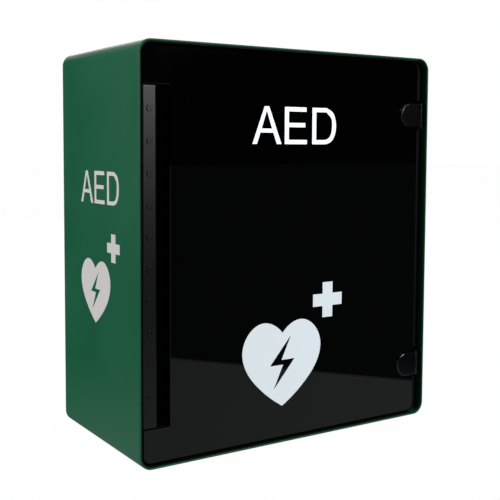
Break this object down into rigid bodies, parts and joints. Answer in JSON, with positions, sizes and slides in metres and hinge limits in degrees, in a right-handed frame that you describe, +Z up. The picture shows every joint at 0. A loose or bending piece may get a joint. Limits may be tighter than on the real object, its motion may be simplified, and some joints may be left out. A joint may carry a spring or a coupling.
{
  "type": "AED wall cabinet with defibrillator",
  "caption": "Steel wall cabinet with a hinged smoked acrylic door, finger slot, alarm and light, holding a defibrillator unit on a shelf.",
  "frame": {"origin": "middle of the cabinet's footprint, on its standing face", "axes": "+Z up, +X to the hinge side as seen from the front, -Y out of the door, +Y into the wall"},
  "size_m": [0.3794, 0.192, 0.423],
  "materials": {
    "casing_green": "powder coat, satin",
    "frame_black": "powder coat, satin black",
    "pane_acrylic": "polished smoked acrylic, seen as black",
    "vinyl_white": "cut vinyl film",
    "vinyl_grey": "cut vinyl film, light grey",
    "hinge_black": "gloss black coated zinc",
    "pin_steel": "turned",
    "screw_black": "black oxide",
    "screw_zinc": "bright zinc",
    "foam_black": "closed-cell foam",
    "plastic_black": "moulded, fine grain",
    "magnet": "nickel plated",
    "aluminium": "anodised",
    "diffuser": "milky acrylic",
    "lamp_red": "moulded lens",
    "lead_black": "PVC sheath",
    "unit_grey": "moulded shell, satin",
    "unit_rubber": "overmoulded rubber",
    "unit_dark": "textured fascia",
    "button_green": "moulded",
    "button_orange": "moulded",
    "button_blue": "moulded",
    "button_red": "moulded",
    "cartridge_yellow": "moulded, fine grain",
    "key_brass": "nickel silver"
  },
  "bodies": {
    "cabinet": {"casing": "casing_green", "back_panel": "casing_green", "inner_frame": "frame_black", "frame_gasket": "foam_black", "grip_bar": "frame_black", "grip_bar_screws": "screw_black", "finger_pocket": "frame_black", "hinge_brackets": "hinge_black", "hinge_pins": "pin_steel", "catch_housings": "plastic_black", "catch_magnets": "magnet", "reed_sensor": "plastic_black", "sensor_lead": "lead_black", "light_lead": "lead_black", "shelf": "frame_black", "shelf_screws": "screw_zinc", "light_channel": "aluminium", "light_diffuser": "diffuser", "alarm_case": "plastic_black", "alarm_siren": "plastic_black", "alarm_lock": "screw_zinc", "alarm_lamp": "lamp_red", "side_letters": "vinyl_grey", "side_hearts": "vinyl_grey", "side_crosses": "vinyl_grey"},
    "door": {"door_pane": "pane_acrylic", "door_strikes": "screw_zinc", "sensor_magnet": "plastic_black", "hinge_clamps": "hinge_black", "hinge_screws": "screw_black", "hinge_pads": "foam_black", "door_letters": "vinyl_white", "door_heart": "vinyl_white", "door_cross": "vinyl_white"},
    "unit": {"unit_rear_shell": "unit_grey", "unit_front_shell": "unit_grey", "unit_bumper": "unit_rubber", "unit_handle": "unit_rubber", "unit_feet": "unit_rubber", "unit_panel": "unit_dark", "unit_bezels": "unit_grey", "unit_status_lens": "button_green"},
    "power_button": {"unit_power_button": "button_green", "unit_power_sign": "vinyl_white"},
    "shock_button": {"unit_shock_button": "button_orange", "unit_shock_sign": "vinyl_white"},
    "info_button": {"unit_info_button": "button_blue", "unit_info_sign": "vinyl_white"},
    "cartridge": {"unit_cartridge": "cartridge_yellow", "unit_cartridge_sign": "vinyl_white"},
    "battery": {"unit_battery": "unit_dark"},
    "test_button": {"alarm_button": "button_red"},
    "key": {"alarm_key": "key_brass"}
  },
  "joints": [
    {"name": "door_hinge", "type": "hinge", "parent": "cabinet", "child": "door", "pos_m": [0.181, -0.0916, 0.2115], "axis": [0, 0, 1], "range_deg": [0, 100]},
    {"name": "unit_lift", "type": "slide", "parent": "cabinet", "child": "unit", "axis": [0, 0, 1], "range_m": [0, 0.02]},
    {"name": "power_press", "type": "slide", "parent": "unit", "child": "power_button", "axis": [0, 1, 0], "range_m": [0, 0.002], "stiffness_N_per_m": 400, "springref_m": -0.001},
    {"name": "shock_press", "type": "slide", "parent": "unit", "child": "shock_button", "axis": [0, 1, 0], "range_m": [0, 0.002], "stiffness_N_per_m": 400, "springref_m": -0.001},
    {"name": "info_press", "type": "slide", "parent": "unit", "child": "info_button", "axis": [0, 1, 0], "range_m": [0, 0.002], "stiffness_N_per_m": 400, "springref_m": -0.001},
    {"name": "cartridge_slide", "type": "slide", "parent": "unit", "child": "cartridge", "axis": [0, -1, 0], "range_m": [0, 0.024]},
    {"name": "battery_slide", "type": "slide", "parent": "unit", "child": "battery", "axis": [-1, 0, 0], "range_m": [0, 0.03]},
    {"name": "test_press", "type": "slide", "parent": "cabinet", "child": "test_button", "axis": [0, 1, 0], "range_m": [0, 0.002], "stiffness_N_per_m": 400, "springref_m": -0.001},
    {"name": "key_turn", "type": "hinge", "parent": "cabinet", "child": "key", "pos_m": [0.134, -0.04, 0.396], "axis": [0, 1, 0], "range_deg": [0, 90]}
  ]
}
